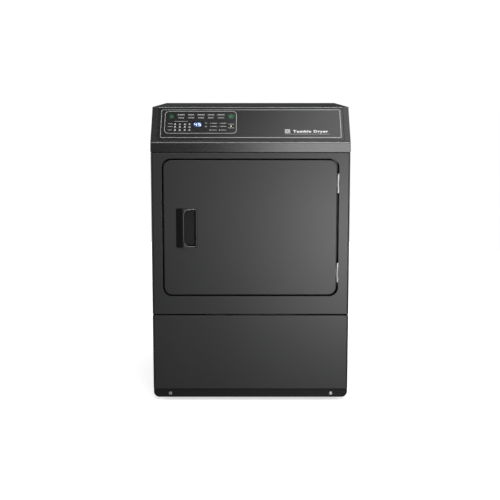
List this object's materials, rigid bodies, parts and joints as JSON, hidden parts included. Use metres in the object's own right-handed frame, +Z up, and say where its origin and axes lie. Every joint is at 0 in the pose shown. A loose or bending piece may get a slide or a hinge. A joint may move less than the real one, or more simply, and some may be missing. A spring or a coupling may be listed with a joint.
{
  "type": "clothes dryer",
  "caption": "Front-loading clothes dryer with a side-hinged door, a tumbling drum, a pull-out lint filter and a sloping control panel of push keys.",
  "frame": {"origin": "centre of the overall box's footprint, on the floor", "axes": "+X to the right as seen from the front, -Y out of the door, +Z up"},
  "size_m": [0.683, 0.705, 1.03],
  "materials": {
    "cabinet_paint": "satin",
    "base_paint": "satin",
    "zinc_sheet": "satin",
    "console_plastic": "matte",
    "motor_alloy": "cast",
    "grey_plastic": "matte",
    "overlay_gloss": "gloss",
    "display_glass": "gloss",
    "key_plastic": "matte",
    "board_green": "gloss",
    "drum_steel": "brushed",
    "bright_steel": "polished",
    "black_rubber": "matte",
    "felt": "matte"
  },
  "bodies": {
    "cabinet": {"base_pan": "base_paint", "left_side_panel": "cabinet_paint", "right_side_panel": "cabinet_paint", "rear_panel": "zinc_sheet", "top_panel": "cabinet_paint", "front_panel": "cabinet_paint", "lower_front_panel": "cabinet_paint", "levelling_feet": "black_rubber", "console_rail": "cabinet_paint", "left_end_cap": "console_plastic", "right_end_cap": "console_plastic", "console_fascia": "console_plastic", "control_overlay": "overlay_gloss", "display_window": "display_glass", "control_board": "board_green", "door_catch": "bright_steel", "frame_hinge_leaves": "bright_steel", "front_bulkhead": "zinc_sheet", "rear_bulkhead": "zinc_sheet", "drum_seals": "felt", "roller_axles": "bright_steel", "drum_glides": "console_plastic", "drum_belt": "black_rubber", "motor_housing": "motor_alloy", "idler_bracket": "zinc_sheet", "idler_spring": "bright_steel", "blower_housing": "console_plastic", "exhaust_duct": "zinc_sheet", "lint_duct": "grey_plastic", "heater_box": "zinc_sheet", "cord_bracket": "zinc_sheet", "cabinet_screws": "bright_steel"},
    "door": {"door_outer_panel": "cabinet_paint", "door_inner_panel": "base_paint", "door_seal": "black_rubber", "door_handle": "console_plastic", "door_strike": "bright_steel", "door_hinge_leaves": "bright_steel"},
    "drum": {"drum_shell": "drum_steel", "drum_baffles": "grey_plastic"},
    "left_roller": {"drum_roller_left": "black_rubber"},
    "right_roller": {"drum_roller_right": "black_rubber"},
    "motor_rotor": {"motor_shaft": "bright_steel", "blower_wheel": "console_plastic"},
    "idler_arm": {"idler_arm": "zinc_sheet"},
    "idler_pulley": {"idler_pulley": "console_plastic"},
    "filter": {"lint_filter": "console_plastic"},
    "power_key": {"power_key": "key_plastic"},
    "cycle_key_1": {"cycle_key_1": "key_plastic"},
    "cycle_key_2": {"cycle_key_2": "key_plastic"},
    "cycle_key_3": {"cycle_key_3": "key_plastic"},
    "cycle_key_4": {"cycle_key_4": "key_plastic"},
    "cycle_key_5": {"cycle_key_5": "key_plastic"},
    "start_key": {"start_key": "key_plastic"},
    "up_key": {"up_key": "key_plastic"},
    "down_key": {"down_key": "key_plastic"},
    "option_key_1": {"option_key_1": "key_plastic"},
    "option_key_2": {"option_key_2": "key_plastic"},
    "option_key_3": {"option_key_3": "key_plastic"},
    "option_key_4": {"option_key_4": "key_plastic"}
  },
  "joints": [
    {"name": "door_hinge", "type": "hinge", "parent": "cabinet", "child": "door", "pos_m": [0.3, -0.345, 0.617], "axis": [0, 0, 1], "range_deg": [0, 180]},
    {"name": "drum_spin", "type": "hinge", "parent": "cabinet", "child": "drum", "pos_m": [0, 0, 0.617], "axis": [0, 1, 0], "continuous": true},
    {"name": "left_roller_spin", "type": "hinge", "parent": "cabinet", "child": "left_roller", "pos_m": [-0.22999, 0.248, 0.34291], "axis": [0, 1, 0], "continuous": true},
    {"name": "right_roller_spin", "type": "hinge", "parent": "cabinet", "child": "right_roller", "pos_m": [0.22999, 0.248, 0.34291], "axis": [0, 1, 0], "continuous": true},
    {"name": "motor_spin", "type": "hinge", "parent": "cabinet", "child": "motor_rotor", "pos_m": [0.04, 0, 0.162], "axis": [0, 1, 0], "continuous": true},
    {"name": "idler_arm_swing", "type": "hinge", "parent": "cabinet", "child": "idler_arm", "pos_m": [-0.118, 0.048, 0.19], "axis": [0, 1, 0], "range_deg": [0, 8], "stiffness_Nm_per_rad": 2, "springref_deg": -28.65},
    {"name": "idler_pulley_spin", "type": "hinge", "parent": "idler_arm", "child": "idler_pulley", "pos_m": [-0.05, 0.06, 0.205], "axis": [0, 1, 0], "continuous": true},
    {"name": "lint_filter_slide", "type": "slide", "parent": "cabinet", "child": "filter", "axis": [0, 0, 1], "range_m": [0, 0.2]},
    {"name": "power_key_press", "type": "slide", "parent": "cabinet", "child": "power_key", "axis": [0, 0.7676, -0.6409], "range_m": [0, 0.0008], "stiffness_N_per_m": 600, "springref_m": -0.0006},
    {"name": "cycle_key_1_press", "type": "slide", "parent": "cabinet", "child": "cycle_key_1", "axis": [0, 0.7676, -0.6409], "range_m": [0, 0.0008], "stiffness_N_per_m": 600, "springref_m": -0.0006},
    {"name": "cycle_key_2_press", "type": "slide", "parent": "cabinet", "child": "cycle_key_2", "axis": [0, 0.7676, -0.6409], "range_m": [0, 0.0008], "stiffness_N_per_m": 600, "springref_m": -0.0006},
    {"name": "cycle_key_3_press", "type": "slide", "parent": "cabinet", "child": "cycle_key_3", "axis": [0, 0.7676, -0.6409], "range_m": [0, 0.0008], "stiffness_N_per_m": 600, "springref_m": -0.0006},
    {"name": "cycle_key_4_press", "type": "slide", "parent": "cabinet", "child": "cycle_key_4", "axis": [0, 0.7676, -0.6409], "range_m": [0, 0.0008], "stiffness_N_per_m": 600, "springref_m": -0.0006},
    {"name": "cycle_key_5_press", "type": "slide", "parent": "cabinet", "child": "cycle_key_5", "axis": [0, 0.7676, -0.6409], "range_m": [0, 0.0008], "stiffness_N_per_m": 600, "springref_m": -0.0006},
    {"name": "start_key_press", "type": "slide", "parent": "cabinet", "child": "start_key", "axis": [0, 0.7676, -0.6409], "range_m": [0, 0.0008], "stiffness_N_per_m": 600, "springref_m": -0.0006},
    {"name": "up_key_press", "type": "slide", "parent": "cabinet", "child": "up_key", "axis": [0, 0.7676, -0.6409], "range_m": [0, 0.0008], "stiffness_N_per_m": 600, "springref_m": -0.0006},
    {"name": "down_key_press", "type": "slide", "parent": "cabinet", "child": "down_key", "axis": [0, 0.7676, -0.6409], "range_m": [0, 0.0008], "stiffness_N_per_m": 600, "springref_m": -0.0006},
    {"name": "option_key_1_press", "type": "slide", "parent": "cabinet", "child": "option_key_1", "axis": [0, 0.7676, -0.6409], "range_m": [0, 0.0008], "stiffness_N_per_m": 600, "springref_m": -0.0006},
    {"name": "option_key_2_press", "type": "slide", "parent": "cabinet", "child": "option_key_2", "axis": [0, 0.7676, -0.6409], "range_m": [0, 0.0008], "stiffness_N_per_m": 600, "springref_m": -0.0006},
    {"name": "option_key_3_press", "type": "slide", "parent": "cabinet", "child": "option_key_3", "axis": [0, 0.7676, -0.6409], "range_m": [0, 0.0008], "stiffness_N_per_m": 600, "springref_m": -0.0006},
    {"name": "option_key_4_press", "type": "slide", "parent": "cabinet", "child": "option_key_4", "axis": [0, 0.7676, -0.6409], "range_m": [0, 0.0008], "stiffness_N_per_m": 600, "springref_m": -0.0006}
  ],
  "couplings": [
    {"joint": "left_roller_spin", "follows": "drum_spin", "ratio": -8.5333},
    {"joint": "right_roller_spin", "follows": "drum_spin", "ratio": -8.5333},
    {"joint": "motor_spin", "follows": "drum_spin", "ratio": 22.172},
    {"joint": "idler_pulley_spin", "follows": "drum_spin", "ratio": -12.132}
  ]
}
